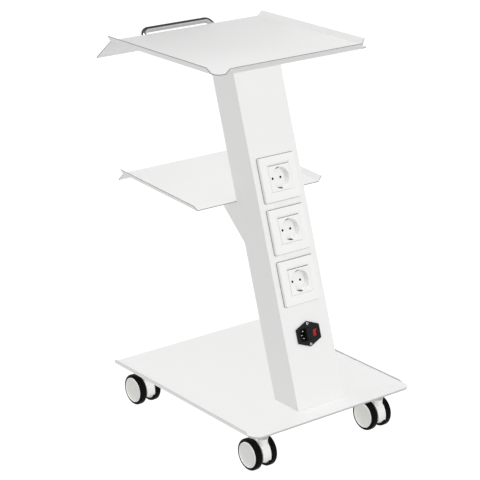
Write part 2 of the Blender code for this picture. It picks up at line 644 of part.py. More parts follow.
def cut_connector(housing, axes):
    half_w, half_h, chamfer = CONNECTOR_WIDTH / 2, CONNECTOR_HEIGHT / 2, CONNECTOR_CHAMFER
    plan = [(half_w, half_h), (-half_w + chamfer, half_h), (-half_w, half_h - chamfer)]
    plan += [(x, -z) for x, z in reversed(plan)]
    outline = [(CONNECTOR_X + x, -FLANGE_THICK - FACE_OVER, z) for x, z in plan]
    recess = prism_mesh("connector", outline, (0, CONNECTOR_DEPTH + FACE_OVER, 0))
    cut(housing, cutter("inlet_connector_recess", recess, axes))
    for name, (dx, z) in PIN_OFFSETS.items():
        size = (PIN_WIDTH + 2 * GAP, THROUGH, PIN_THICK + 2 * GAP)
        slot = box_mesh("slot", size, (CONNECTOR_X + dx, HOUSING_DEPTH, z))
        cut(housing, cutter(f"inlet_pin_slot_{name}", slot, axes))


def make_pins(axes, finish):
    front, rear = PIN_SETBACK - FLANGE_THICK, HOUSING_DEPTH + PIN_TAIL
    for name, (dx, z) in PIN_OFFSETS.items():
        size, middle = (PIN_WIDTH, rear - front, PIN_THICK), (CONNECTOR_X + dx, (rear + front) / 2, z)
        soften(add(f"inlet_pin_{name}", box_mesh("pin", size, middle), finish, axes), 0.0004, 1)


def cut_drawer_bay(housing, axes):
    deep = DRAWER_DEPTH + GAP + FACE_OVER
    size = (DRAWER_WIDTH + 2 * GAP, deep, DRAWER_HEIGHT + 2 * GAP)
    bay = box_mesh("bay", size, (DRAWER_X, deep / 2 - FLANGE_THICK - FACE_OVER, 0))
    cut(housing, cutter("inlet_drawer_bay", bay, axes))


def make_drawer(axes, finishes):
    """The fuse drawer, at its closed place, with the fuse lying in a pocket open to one side."""
    front = -FLANGE_THICK - DRAWER_PROUD
    size = (DRAWER_WIDTH, DRAWER_DEPTH, DRAWER_HEIGHT)
    body = box_mesh("drawer", size, (DRAWER_X, front + DRAWER_DEPTH / 2, 0))
    drawer = add("fuse_drawer", body, finishes["black_plastic"], axes)
    depth = front + FUSE_SETBACK
    pocket_size = (DRAWER_WIDTH, 2 * FUSE_RADIUS + POCKET_OVER, FUSE_LENGTH + POCKET_OVER)
    pocket = box_mesh("pocket", pocket_size, (DRAWER_X + POCKET_SHIFT, depth, 0))
    cut(drawer, cutter("fuse_pocket", pocket, axes))
    slot = box_mesh("slot", PRY_SLOT, (DRAWER_X, front, PRY_RISE - DRAWER_HEIGHT / 2))
    cut(drawer, cutter("drawer_pry_slot", slot, axes))
    x = DRAWER_X + POCKET_SHIFT - DRAWER_WIDTH / 2 + FUSE_RADIUS + GAP
    fuse = cylinder_mesh("fuse", FUSE_RADIUS, FUSE_LENGTH, centre=(x, depth, 0), sides=12)
    smooth(add("fuse", fuse, finishes["glass"], axes))


def rocker_place():
    return Matrix.Translation((ROCKER_X, -FLANGE_THICK + ROCKER_PIVOT_DEPTH, 0))


def cut_rocker_bay(housing, axes):
    size = (ROCKER_WIDTH + 2 * GAP, ROCKER_SLOT_DEPTH + FACE_OVER, 2 * ROCKER_SLOT_HALF)
    middle = (ROCKER_X, size[1] / 2 - FLANGE_THICK - FACE_OVER, 0)
    cut(housing, cutter("rocker_bay", box_mesh("bay", size, middle), axes))
    length = ROCKER_WIDTH + 2 * (TRUNNION_REACH + GAP)
    seat = cylinder_mesh("seat", TRUNNION + GAP, length, "X", sides=12)
    cut(housing, cutter("rocker_trunnion_seat", seat, axes, rocker_place()))


def make_rocker(axes, finish):
    """The rocker, tipped at rest, on two stub trunnions. Its origin is on its pivot."""
    end, draft = ROCKER_HALF_LENGTH, ROCKER_DRAFT
    crown, foot = -ROCKER_PIVOT_DEPTH - ROCKER_CROWN, ROCKER_FOOT
    outline = [(crown, end), (ROCKER_DIP - ROCKER_PIVOT_DEPTH, 0), (crown, -end)]
    outline += [(foot - draft, draft - end), (foot, 0), (foot - draft, end - draft)]
    body = prism_mesh("rocker", [(-ROCKER_WIDTH / 2, y, z) for y, z in outline], (ROCKER_WIDTH, 0, 0))
    place = rocker_place() @ Matrix.Rotation(ROCKER_TILT, 4, "X")
    rocker = add("rocker_switch", body, finish, axes, place)
    stub = cylinder_mesh("stub", TRUNNION, ROCKER_WIDTH + 2 * TRUNNION_REACH, "X", sides=12)
    cut(rocker, cutter("rocker_trunnions", stub, axes, place), "UNION")


def make_inlet_screw(name, axes, z, finish):
    under = FLANGE_THICK + 2 * GAP
    crown = under + SCREW_DOME
    profile = [(0, crown), (SCREW_CROWN, crown), (SCREW_HEAD, under + SCREW_EDGE), (SCREW_HEAD, under)]
    profile += [(SCREW_SHANK, under), (SCREW_SHANK, SCREW_TIP), (0, SCREW_TIP)]
    place = Matrix.Translation((0, 0, z)) @ Matrix.Rotation(pi / 2, 4, "X")
    turned(f"inlet_screw_{name}", profile, finish, axes, place, 16)


def make_caster(name, x, y, finishes):
    """One twin-wheel caster. Its swivel axis is at x, y, and its wheels trail towards +Y."""
    swivel = empty(f"{name}_swivel_axis", Matrix.Translation((x, y, 0)))
    make_stem(name, swivel, finishes["zinc"])
    axle_place = Matrix.Translation((0, CASTER_TRAIL, WHEEL_RADIUS))
    make_hood(name, swivel, axle_place, finishes["grey_plastic"])
    axle = cylinder_mesh("axle", AXLE_RADIUS, 2 * AXLE_HALF, "X", sides=16)
    smooth(add(f"{name}_axle", axle, finishes["zinc"], swivel, axle_place))
    for side in (-1, 1):
        end = "outer" if side * x > 0 else "inner"
        turn = Matrix.Rotation(side * pi / 2, 4, "Y")
        place = axle_place @ turn @ Matrix.Translation((0, 0, WHEEL_INNER_X))
        turned(f"{name}_{end}_hub", hub_profile(), finishes["grey_plastic"], swivel, place)
        turned(f"{name}_{end}_tyre", tyre_profile(), finishes["tyre"], swivel, place)


def hub_profile():
    """The wheel's hub and end cap in one, with a blind bore for the axle. Height 0 is its inner face."""
    rim, top, step = HUB_RADIUS, WHEEL_WIDTH + CAP_PROUD, CAP_STEP
    bore, deep = AXLE_RADIUS + GAP, AXLE_HALF - WHEEL_INNER_X + GAP
    dish = [(0, top - 2 * CAP_DISH), (rim - RIM_WIDTH - step, top - CAP_DISH)]
    edge = [(rim - RIM_WIDTH, top), (rim - RIM_ROUND, top), (rim, top - RIM_ROUND), (rim, step)]
    return dish + edge + [(rim - step, 0), (bore, 0), (bore, deep), (0, deep)]


def tyre_profile():
    inner, outer, width, shoulder = HUB_RADIUS + GAP, WHEEL_RADIUS, WHEEL_WIDTH, TYRE_SHOULDER
    top = arc((outer - shoulder, width - shoulder), shoulder, pi / 2, 0, 2)
    bottom = arc((outer - shoulder, shoulder), shoulder, 0, -pi / 2, 2)
    return [(inner, width), *top, *bottom, (inner, 0)]


def make_stem(name, swivel, finish):
    """The swivel stem with its collar, and a hexagon that meets the base plate."""
    collar = BOSS_TOP + GAP
    top = CASTER_HEIGHT - GAP
    shoulder, neck = collar + COLLAR_THICK, STEM_TOP_RADIUS
    profile = [(0, top), (neck, top), (neck, shoulder), (COLLAR_RADIUS, shoulder)]
    profile += [(COLLAR_RADIUS, collar), (STEM_RADIUS, collar), (STEM_RADIUS, STEM_FOOT), (0, STEM_FOOT)]
    stem = turned(f"{name}_stem", profile, finish, swivel, steps=20)
    nut = cylinder_mesh("nut", NUT_RADIUS, NUT_THICK, centre=(0, 0, top - GAP - NUT_THICK / 2), sides=6)
    cut(stem, cutter(f"{name}_stem_nut", nut, swivel), "UNION")


def hood_arch(radius, start, end):
    return arc((0, 0), radius, start, end, 12)


def make_hood(name, swivel, axle_place, finish):
    """The caster's body: an arched guard on a web, with bosses for the stem and the axle."""
    lift = axle_place @ Matrix.Rotation(pi, 4, "Z")
    inner = HOOD_RADIUS - HOOD_WALL
    outline = hood_arch(HOOD_RADIUS, HOOD_START, HOOD_END) + hood_arch(inner, HOOD_END, HOOD_START)
    arch = prism_mesh("hood", [(-HOOD_HALF_WIDTH, y, z) for y, z in outline], (2 * HOOD_HALF_WIDTH, 0, 0))
    hood = add(f"{name}_hood", arch, finish, swivel, lift)
    web = hood_arch(HOOD_RADIUS - HOOD_WALL / 2, HOOD_START, HOOD_END) + [(0, WEB_FOOT)]
    web_mesh = prism_mesh("web", [(-HOOD_WEB / 2, y, z) for y, z in web], (HOOD_WEB, 0, 0))
    cut(hood, cutter(f"{name}_web", web_mesh, swivel, lift), "UNION")
    hub = cylinder_mesh("hub", AXLE_BOSS, 2 * HOOD_HALF_WIDTH, "X", sides=20)
    cut(hood, cutter(f"{name}_axle_boss", hub, swivel, axle_place), "UNION")
    boss = upright_mesh("boss", BOSS_RADIUS, STEM_FOOT - BOSS_FLOOR, BOSS_TOP)
    cut(hood, cutter(f"{name}_stem_boss", boss, swivel), "UNION")
    bore = cylinder_mesh("bore", AXLE_RADIUS + GAP, 2 * THROUGH, "X", sides=16)
    cut(hood, cutter(f"{name}_axle_bore", bore, swivel, axle_place))
    seat = upright_mesh("seat", STEM_RADIUS + GAP, STEM_FOOT - GAP, CASTER_HEIGHT)
    cut(hood, cutter(f"{name}_stem_seat", seat, swivel))


def upright_mesh(name, radius, low, high):
    return cylinder_mesh(name, radius, high - low, centre=(0, 0, (high + low) / 2), sides=20)


def main():
    clear_scene()
    finishes = make_materials()
    white = finishes["white_steel"]
    make_base(white)
    make_column(white)
    make_foot_bolts(finishes["zinc"])
    make_tray(white)
    make_handle(finishes["stainless"], finishes["zinc"])
    make_shelf(white)
    make_bracket(white)
    for number, height in enumerate(SOCKET_HEIGHTS, 1):
        make_socket(number, height, finishes)
    make_inlet(finishes)
    for end, y in (("front", -CASTER_Y), ("rear", CASTER_Y)):
        for side, x in (("left", -CASTER_X), ("right", CASTER_X)):
            make_caster(f"caster_{end}_{side}", x, BASE_CENTRE_Y + y, finishes)


main()
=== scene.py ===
import json
from math import cos, hypot, pi, radians, sin

import bmesh
import bpy
from mathutils import Matrix, Vector

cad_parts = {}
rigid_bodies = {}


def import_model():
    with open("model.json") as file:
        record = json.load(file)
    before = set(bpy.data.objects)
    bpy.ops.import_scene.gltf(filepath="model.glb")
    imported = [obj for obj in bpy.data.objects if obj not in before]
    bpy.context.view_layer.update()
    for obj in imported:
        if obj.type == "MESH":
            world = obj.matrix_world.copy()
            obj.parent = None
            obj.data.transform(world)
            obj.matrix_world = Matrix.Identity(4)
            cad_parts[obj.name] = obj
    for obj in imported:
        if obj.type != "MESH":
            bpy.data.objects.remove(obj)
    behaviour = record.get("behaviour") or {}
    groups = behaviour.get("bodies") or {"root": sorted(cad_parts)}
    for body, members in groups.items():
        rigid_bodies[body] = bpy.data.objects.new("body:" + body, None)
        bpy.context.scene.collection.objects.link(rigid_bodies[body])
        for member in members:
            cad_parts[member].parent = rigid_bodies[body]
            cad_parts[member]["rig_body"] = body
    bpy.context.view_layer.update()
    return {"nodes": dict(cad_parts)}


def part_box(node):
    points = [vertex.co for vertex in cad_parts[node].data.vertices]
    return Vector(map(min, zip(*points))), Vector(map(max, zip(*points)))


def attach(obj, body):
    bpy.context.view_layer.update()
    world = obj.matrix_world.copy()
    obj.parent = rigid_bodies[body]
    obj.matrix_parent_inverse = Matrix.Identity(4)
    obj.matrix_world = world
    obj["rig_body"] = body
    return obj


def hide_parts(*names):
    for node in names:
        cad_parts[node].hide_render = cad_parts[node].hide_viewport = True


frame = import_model()
print("frame loaded,", len(frame["nodes"]), "nodes")


# node groups shared by the materials

def newGroup(name, inputs, outputs):
    group = bpy.data.node_groups.new(name, "ShaderNodeTree")
    for label, kind, value in inputs:
        socket = group.interface.new_socket(name=label, in_out="INPUT", socket_type=kind)
        socket.default_value = value
    for label, kind in outputs:
        group.interface.new_socket(name=label, in_out="OUTPUT", socket_type=kind)
    return group, group.nodes.new("NodeGroupInput"), group.nodes.new("NodeGroupOutput")


def buildUnevenTone():
    # two close tones drifting over the surface, and a roughness that drifts with them
    group, start, end = newGroup(
        "unevenTone",
        [("Scale", "NodeSocketFloat", 6.0),
         ("Tone A", "NodeSocketColor", (1, 1, 1, 1)),
         ("Tone B", "NodeSocketColor", (0.9, 0.9, 0.9, 1)),
         ("Low", "NodeSocketFloat", 0.3),
         ("High", "NodeSocketFloat", 0.4)],
        [("Color", "NodeSocketColor"), ("Roughness", "NodeSocketFloat")])
    nodes, links = group.nodes, group.links
    where = nodes.new("ShaderNodeTexCoord")
    noise = nodes.new("ShaderNodeTexNoise")
    noise.inputs["Detail"].default_value = 4
    mix = nodes.new("ShaderNodeMix")
    mix.data_type = "RGBA"
    spread = nodes.new("ShaderNodeMapRange")
    links.new(where.outputs["Object"], noise.inputs["Vector"])
    links.new(start.outputs["Scale"], noise.inputs["Scale"])
    links.new(noise.outputs["Fac"], mix.inputs[0])
    links.new(start.outputs["Tone A"], mix.inputs[6])
    links.new(start.outputs["Tone B"], mix.inputs[7])
    links.new(noise.outputs["Fac"], spread.inputs["Value"])
    links.new(start.outputs["Low"], spread.inputs["To Min"])
    links.new(start.outputs["High"], spread.inputs["To Max"])
    links.new(mix.outputs[2], end.inputs["Color"])
    links.new(spread.outputs["Result"], end.inputs["Roughness"])
    return group


def buildFineRelief():
    # the small relief of a coating or a moulded face, as a normal
    group, start, end = newGroup(
        "fineRelief",
        [("Scale", "NodeSocketFloat", 900.0),
         ("Stretch", "NodeSocketVector", (1, 1, 1)),
         ("Strength", "NodeSocketFloat", 0.2),
         ("Distance", "NodeSocketFloat", 0.0001)],
        [("Normal", "NodeSocketVector")])
    nodes, links = group.nodes, group.links
    where = nodes.new("ShaderNodeTexCoord")
    stretch = nodes.new("ShaderNodeVectorMath")
    stretch.operation = "MULTIPLY"
    noise = nodes.new("ShaderNodeTexNoise")
    noise.inputs["Detail"].default_value = 2
    bump = nodes.new("ShaderNodeBump")
    links.new(where.outputs["Object"], stretch.inputs[0])
    links.new(start.outputs["Stretch"], stretch.inputs[1])
    links.new(stretch.outputs["Vector"], noise.inputs["Vector"])
    links.new(start.outputs["Scale"], noise.inputs["Scale"])
    links.new(noise.outputs["Fac"], bump.inputs["Height"])
    links.new(start.outputs["Strength"], bump.inputs["Strength"])
    links.new(start.outputs["Distance"], bump.inputs["Distance"])
    links.new(bump.outputs["Normal"], end.inputs["Normal"])
    return group


unevenTone = buildUnevenTone()
fineRelief = buildFineRelief()
print("node groups built")


# finishes, each with its own tones, drift and relief: scale, stretch, strength and distance

finishes = {
    "powderCoat": {"tones": ((0.90, 0.90, 0.895), (0.875, 0.875, 0.87)), "drift": 5,
                   "roughness": (0.36, 0.46), "relief": (1400, (1, 1, 1), 0.22, 0.00006)},
    "socketPlastic": {"tones": ((0.93, 0.93, 0.925), (0.91, 0.91, 0.90)), "drift": 25,
                      "roughness": (0.16, 0.24), "relief": (900, (1, 1, 1), 0.08, 0.00003), "coat": 0.3},
    # the two edge finishes are darker greys laid on the sheets' cut edges as painted shade
    "cutEdgeShade": {"tones": ((0.40, 0.40, 0.40), (0.33, 0.33, 0.335)), "drift": 30,
                "roughness": (0.38, 0.52), "relief": (1800, (1, 1, 1), 0.3, 0.00006)},
    "paleEdgeShade": {"tones": ((0.62, 0.62, 0.62), (0.54, 0.54, 0.545)), "drift": 30,
                 "roughness": (0.36, 0.50), "relief": (1600, (1, 1, 1), 0.25, 0.00006)},
    # a dark grey for the bead round the socket frames, painted shade at their foot
    "greyShadeBead": {"tones": ((0.30, 0.30, 0.30), (0.24, 0.24, 0.245)), "drift": 60,
                 "roughness": (0.5, 0.65), "relief": (2400, (1, 1, 1), 0.25, 0.00005)},
    "casterCap": {"tones": ((0.84, 0.85, 0.805), (0.79, 0.80, 0.755)), "drift": 30,
                  "roughness": (0.30, 0.42), "relief": (2200, (1, 1, 1), 0.25, 0.00005)},
    "casterRim": {"tones": ((0.93, 0.93, 0.915), (0.89, 0.89, 0.875)), "drift": 40,
                  "roughness": (0.22, 0.32), "relief": (1500, (1, 1, 1), 0.1, 0.00004)},
    "casterBody": {"tones": ((0.91, 0.915, 0.89), (0.86, 0.865, 0.84)), "drift": 30,
                   "roughness": (0.34, 0.46), "relief": (2000, (1, 1, 1), 0.25, 0.00005)},
    "blackInlet": {"tones": ((0.008, 0.008, 0.009), (0.014, 0.014, 0.015)), "drift": 60,
                   "roughness": (0.30, 0.44), "relief": (2600, (1, 1, 1), 0.35, 0.00006), "specular": 0.15},
    # black of the mechanism behind the insert, also laid on the insert's hole and notch walls as painted
    # shade
    "blackMechanismAndHoleShade": {"tones": ((0.012, 0.012, 0.012), (0.02, 0.02, 0.02)), "drift": 60,
                       "roughness": (0.5, 0.6), "relief": (2600, (1, 1, 1), 0.3, 0.00005)},
    "redRocker": {"tones": ((0.40, 0.004, 0.006), (0.32, 0.003, 0.005)), "drift": 90,
                  "roughness": (0.14, 0.22), "relief": (1200, (1, 1, 1), 0.05, 0.00003), "coat": 0.2,
                  "specular": 0.3},
    "blackTyre": {"tones": ((0.002, 0.002, 0.002), (0.005, 0.005, 0.005)), "drift": 45,
                  "roughness": (0.20, 0.32), "relief": (1800, (1, 1, 1), 0.15, 0.00005), "specular": 0.05},
    "stainless": {"tones": ((0.72, 0.72, 0.715), (0.62, 0.62, 0.62)), "drift": 70,
                  "roughness": (0.16, 0.28), "relief": (300, (1, 14, 14), 0.25, 0.00003), "metal": 1.0},
    "zinc": {"tones": ((0.66, 0.67, 0.68), (0.52, 0.53, 0.55)), "drift": 160,
             "roughness": (0.24, 0.38), "relief": (1200, (1, 1, 1), 0.25, 0.00003), "metal": 1.0},
    # a steel darkened well below the nickel, painted shade for the earth clip in its notches
    "clipSteelShaded": {"tones": ((0.26, 0.25, 0.24), (0.16, 0.155, 0.15)), "drift": 200,
                  "roughness": (0.30, 0.45), "relief": (1800, (1, 1, 1), 0.2, 0.00002), "metal": 1.0},
    "nickel": {"tones": ((0.62, 0.60, 0.56), (0.48, 0.46, 0.43)), "drift": 160,
               "roughness": (0.20, 0.32), "relief": (1500, (1, 1, 1), 0.2, 0.00002), "metal": 1.0},
}


coatRoughness = 0.08


def placeTone(nodes, look):
    tone = nodes.new("ShaderNodeGroup")
    tone.node_tree = unevenTone
    tone.inputs["Scale"].default_value = look["drift"]
    tone.inputs["Tone A"].default_value = (*look["tones"][0], 1)
    tone.inputs["Tone B"].default_value = (*look["tones"][1], 1)
    tone.inputs["Low"].default_value, tone.inputs["High"].default_value = look["roughness"]
    return tone


def makeFinish(name, look):
    made = bpy.data.materials.new(name)
    made.use_nodes = True
    nodes, links = made.node_tree.nodes, made.node_tree.links
    shader = nodes["Principled BSDF"]
    tone = placeTone(nodes, look)
    relief = nodes.new("ShaderNodeGroup")
    relief.node_tree = fineRelief
    for label, value in zip(("Scale", "Stretch", "Strength", "Distance"), look["relief"]):
        relief.inputs[label].default_value = value
    shader.inputs["Metallic"].default_value = look.get("metal", 0.0)
    shader.inputs["Coat Weight"].default_value = look.get("coat", 0.0)
    shader.inputs["Coat Roughness"].default_value = coatRoughness
    shader.inputs["Specular IOR Level"].default_value = look.get("specular", 0.5)
    links.new(tone.outputs["Color"], shader.inputs["Base Color"])
    links.new(tone.outputs["Roughness"], shader.inputs["Roughness"])
    links.new(relief.outputs["Normal"], shader.inputs["Normal"])
    return made


paint = {name: makeFinish(name, look) for name, look in finishes.items()}


fuseGlass = {"tones": ((0.92, 0.95, 0.94), (0.86, 0.90, 0.88)), "drift": 200,
             "roughness": (0.03, 0.08), "clear": 0.9}


def makeFuseGlass(look):
    made = bpy.data.materials.new("fuseGlass")
    made.use_nodes = True
    nodes, links = made.node_tree.nodes, made.node_tree.links
    shader = nodes["Principled BSDF"]
    tone = placeTone(nodes, look)
    shader.inputs["Transmission Weight"].default_value = look["clear"]
    links.new(tone.outputs["Color"], shader.inputs["Base Color"])
    links.new(tone.outputs["Roughness"], shader.inputs["Roughness"])
    return made


paint["fuseGlass"] = makeFuseGlass(fuseGlass)
print("finishes made:", len(paint))


# small helpers for every piece

clean = {"weld": 0.000002, "copyWeld": 0.000005, "flat": radians(0.6), "smooth": 32, "fold": 60}


def putDown(bm, name, finish, body, stoodFor=(), angle=clean["smooth"]):
    # welds the mesh, turns its faces outwards and sets it on its body
    bmesh.ops.remove_doubles(bm, verts=bm.verts, dist=clean["weld"])
    bmesh.ops.recalc_face_normals(bm, faces=bm.faces)
    mesh = bpy.data.meshes.new(name)
    bm.to_mesh(mesh)
    bm.free()
    mesh.materials.append(paint[finish])
    piece = bpy.data.objects.new(name, mesh)
    bpy.context.scene.collection.objects.link(piece)
    mesh.shade_smooth()
    mesh.set_sharp_from_angle(angle=radians(angle))
    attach(piece, body)
    if stoodFor:
        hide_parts(*stoodFor)
    return piece


def vertsOf(geometry):
    return [part for part in geometry if isinstance(part, bmesh.types.BMVert)]


def edgesOf(geometry):
    return [part for part in geometry if isinstance(part, bmesh.types.BMEdge)]


def bodyOf(node):
    return frame["nodes"][node]["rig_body"]


def openEdges(geometry):
    return [e for e in edgesOf(geometry) if e.is_boundary]


def easeEdges(piece, width, segments, steepness, harden=True):
    ease = piece.modifiers.new("ease", "BEVEL")
    ease.width = width
    ease.segments = segments
    ease.limit_method = "ANGLE"
    ease.angle_limit = radians(steepness)
    ease.harden_normals = harden


def roundedCopy(node, name, finish, slotName, width, segments=3, steepness=40, second=None, isSecond=None):
    # the node's own shape, merged, its flats made whole, its edges eased;
    # the faces that isSecond picks take the second finish
    bm = bmesh.new()
    bm.from_mesh(frame["nodes"][node].data)
    bmesh.ops.remove_doubles(bm, verts=bm.verts, dist=clean["copyWeld"])
    bmesh.ops.dissolve_limit(bm, angle_limit=clean["flat"], verts=bm.verts, edges=bm.edges)
    if second:
        for face in bm.faces:
            face.material_index = int(isSecond(face))
    piece = putDown(bm, name, finish, bodyOf(node), (node,))
    if second:
        piece.data.materials.append(paint[second])
    easeEdges(piece, width, segments, steepness)


def spinProfile(bm, profile, steps):
    # (radius, height) points turned once round Z
    verts = [bm.verts.new((r, 0, h)) for r, h in profile]
    edges = [bm.edges.new(pair) for pair in zip(verts, verts[1:])]
    bmesh.ops.spin(bm, geom=verts + edges, cent=(0, 0, 0), axis=(0, 0, 1),
                   angle=2 * pi, steps=steps, use_merge=True)


# where the column's face is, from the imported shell

column = {"lean": radians(18), "sockets": (0.443, 0.343, 0.243), "inlet": 0.139}
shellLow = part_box("column_shell")[0]
columnFoot = Matrix.Translation((0, shellLow.y, shellLow.z)) @ Matrix.Rotation(-column["lean"], 4, "X")


def onColumn(height):
    # X across, -Y out of the face, Z up the slope
    return columnFoot @ Matrix.Translation((0, 0, height))


# painted steel sheets

sheetEdge = {"widest": 0.0045, "sharp": radians(60), "sharpShare": 0.2}


def isShadedCutEdge(face):
    # a strip no wider than the thickest sheet, with sharp corners along its length; these strips take a
    # darker grey as painted shade
    sharp = sum(e.calc_length() for e in face.edges if e.calc_face_angle(0) > sheetEdge["sharp"])
    around = face.calc_perimeter()
    return 2 * face.calc_area() / around < sheetEdge["widest"] and sharp / around > sheetEdge["sharpShare"]


# label, width of the eased edge, finish of the cut edges, a darker grey that paints shade onto them
sheets = {
    "base_plate": ("basePlate", 0.0007, "paleEdgeShade"),
    "top_tray": ("topTray", 0.00055, "cutEdgeShade"),
    "middle_shelf": ("middleShelf", 0.00055, "cutEdgeShade"),
    "shelf_bracket": ("shelfBracket", 0.00045, "paleEdgeShade"),
    "column_shell": ("columnShell", 0.00060, "paleEdgeShade"),
    "column_rear_cover": ("columnRearCover", 0.00040, "paleEdgeShade"),
}
for node, (label, width, edgeShadeFinish) in sheets.items():
    roundedCopy(node, label, "powderCoat", "white_powder_coat", width, second=edgeShadeFinish, isSecond=isShadedCutEdge)
print("steel sheets eased")


# handle on the tray's wing

handle = {"tube": 0.006, "halfSpan": 0.084, "rise": 0.021, "bend": 0.015, "sides": 32, "bendSteps": 12,
          "gap": 0.0003, "wingAngle": radians(40), "edge": 0.0005, "edgeSteps": 2}


def wingFrame():
    # the handle's two feet stand on the wing; its box gives the middle of that line
    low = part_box("tray_handle")[0]
    angle, tube = handle["wingAngle"], handle["tube"]
    footY = low.y + tube * cos(angle) - handle["gap"] * sin(angle)
    footZ = low.z + tube * sin(angle) - handle["gap"] * cos(angle)
    return Matrix.Translation((0, footY, footZ)) @ Matrix.Rotation(-angle, 4, "X")


def makeHandle():
    half, bend = handle["halfSpan"], handle["bend"]
    straight = handle["rise"] - bend - handle["gap"]
    bm = bmesh.new()
    bmesh.ops.create_circle(bm, cap_ends=False, radius=handle["tube"], segments=handle["sides"])
    bmesh.ops.translate(bm, vec=(-half, 0, handle["gap"]), verts=bm.verts)
    ring = bm.edges[:]

    def run(ring, vector):
        moved = bmesh.ops.extrude_edge_only(bm, edges=ring)["geom"]
        bmesh.ops.translate(bm, vec=vector, verts=vertsOf(moved))
        return openEdges(moved)

    def turn(ring, centre):
        verts = list({v for e in ring for v in e.verts})
        made = bmesh.ops.spin(bm, geom=verts + ring, cent=centre, axis=(0, 1, 0), angle=pi / 2,
                              steps=handle["bendSteps"])
        return edgesOf(made["geom_last"])

    ring = run(ring, (0, 0, straight))
    ring = turn(ring, (-half + bend, 0, handle["rise"] - bend))
    ring = run(ring, (2 * (half - bend), 0, 0))
    ring = turn(ring, (half - bend, 0, handle["rise"] - bend))
    run(ring, (0, 0, -straight))
    bmesh.ops.holes_fill(bm, edges=[e for e in bm.edges if e.is_boundary])
    bm.transform(wingFrame())
    piece = putDown(bm, "trayHandle", "stainless", "trolley", ("tray_handle",))
    easeEdges(piece, handle["edge"], handle["edgeSteps"], clean["fold"], harden=False)


makeHandle()
print("handle made")


# screw heads with a cross recess, on a shank

# the cross is in shares of the head's radius, and its depth of the dome
cross = {"cells": 9, "halfWidth": 0.1, "halfLength": 0.6, "depth": 0.75, "taper": 0.8, "domePower": 2.4,
         "smooth": 50}


def inCross(face):
    across, along = sorted(map(abs, face.calc_center_median()[:2]))
    return across < cross["halfWidth"] and along < cross["halfLength"]


def crossScrew(name, place, screw, stoodFor):
    # height 0 is under the head, and the head stands towards +Z
    radius = screw["radius"]
    dome, rim, shank, length = (screw[key] / radius for key in ("dome", "rim", "shank", "length"))
    bm = bmesh.new()
    bmesh.ops.create_grid(bm, x_segments=cross["cells"], y_segments=cross["cells"], size=1)
    slot = [f for f in bm.faces if inCross(f)]
    outline = openEdges(bm.edges)
    for v in bm.verts:
        x, y = v.co.x, v.co.y
        v.co.x, v.co.y = x * (1 - y * y / 2) ** 0.5, y * (1 - x * x / 2) ** 0.5
        out = hypot(v.co.x, v.co.y)
        v.co.z = rim + (dome - rim) * (1 - out ** cross["domePower"])
    sunk = bmesh.ops.extrude_face_region(bm, geom=slot)["geom"]
    bmesh.ops.delete(bm, geom=slot, context="FACES")
    bmesh.ops.translate(bm, vec=(0, 0, -cross["depth"] * dome), verts=vertsOf(sunk))
    bmesh.ops.scale(bm, vec=(cross["taper"], cross["taper"], 1), verts=vertsOf(sunk))
    side = bmesh.ops.extrude_edge_only(bm, edges=outline)["geom"]
    for v in vertsOf(side):
        v.co.z = 0
    under = bmesh.ops.extrude_edge_only(bm, edges=openEdges(side))["geom"]
    bmesh.ops.scale(bm, vec=(shank, shank, 1), verts=vertsOf(under))
    last = bmesh.ops.extrude_edge_only(bm, edges=openEdges(under))["geom"]
    bmesh.ops.translate(bm, vec=(0, 0, -length), verts=vertsOf(last))
    bmesh.ops.holes_fill(bm, edges=openEdges(last))
    bmesh.ops.scale(bm, vec=(radius, radius, radius), verts=bm.verts)
    bm.transform(place)
    putDown(bm, name, "zinc", "trolley", (stoodFor,), cross["smooth"])


inletScrew = {"pitch": 0.040, "under": 0.0031, "radius": 0.0029, "dome": 0.0018, "rim": 0.0008,
              "shank": 0.0015, "length": 0.0090, "turn": 0.5}
for side, label in ((1, "top"), (-1, "bottom")):
    seat = Matrix.Translation((0, -inletScrew["under"], side * inletScrew["pitch"] / 2))
    turned = Matrix.Rotation(pi / 2, 4, "X") @ Matrix.Rotation(side * inletScrew["turn"], 4, "Z")
    crossScrew(f"inletScrew_{label}", onColumn(column["inlet"]) @ seat @ turned, inletScrew,
               f"inlet_screw_{label}")

wingScrew = {"under": 0.0023, "radius": 0.0047, "dome": 0.0031, "rim": 0.0014, "shank": 0.0023,
             "length": 0.0112}
for side, label in ((-1, "left"), (1, "right")):
    seat = Matrix.Translation((side * handle["halfSpan"], 0, -wingScrew["under"]))
    crossScrew(f"handleScrew_{label}", wingFrame() @ seat @ Matrix.Rotation(pi, 4, "X"), wingScrew,
               f"handle_screw_{label}")
print("screws made")


# sockets: an outer frame with a stepped inner edge, the insert, its clip and what is behind

socket = {"half": 0.043, "proud": 0.008, "corner": 0.0022, "cornerSteps": 6, "window": 0.0250, "step": 0.0035,
          "slope": 0.0007, "stepDrop": 0.0006, "topSlot": 0.0010, "frameBack": 0.0003,
          "frameEase": 0.0010, "frameSteps": 4, "insertEase": 0.00035, "clipEase": 0.0002,
          "mechanismEase": 0.0005, "easeSteps": 2,
          "contactPitch": 0.019, "contactReach": 0.0028, "notchHalf": 0.0042, "notchFrom": 0.0194,
          "notchTo": 0.0265, "mouthBack": -0.006}
# the bead that paints shade round the frame's foot
shadeBead = {"reach": 0.0011, "thick": 0.0009, "gap": 0.0001, "ease": 0.0003, "steps": 2}


def innermost(bm):
    return min(bm.faces, key=lambda f: f.calc_center_median().length)


def roundedSquare(half, corner):
    bm = bmesh.new()
    bmesh.ops.create_grid(bm, x_segments=1, y_segments=1, size=half)
    bmesh.ops.bevel(bm, geom=bm.verts[:], offset=corner, segments=socket["cornerSteps"], profile=0.5,
                    affect="VERTICES", material=-1)
    return bm


def standOnColumn(bm, place):
    # from flat on its back to upright in the column's face
    bmesh.ops.rotate(bm, cent=(0, 0, 0), matrix=Matrix.Rotation(pi / 2, 3, "X"), verts=bm.verts)
    bm.transform(place)


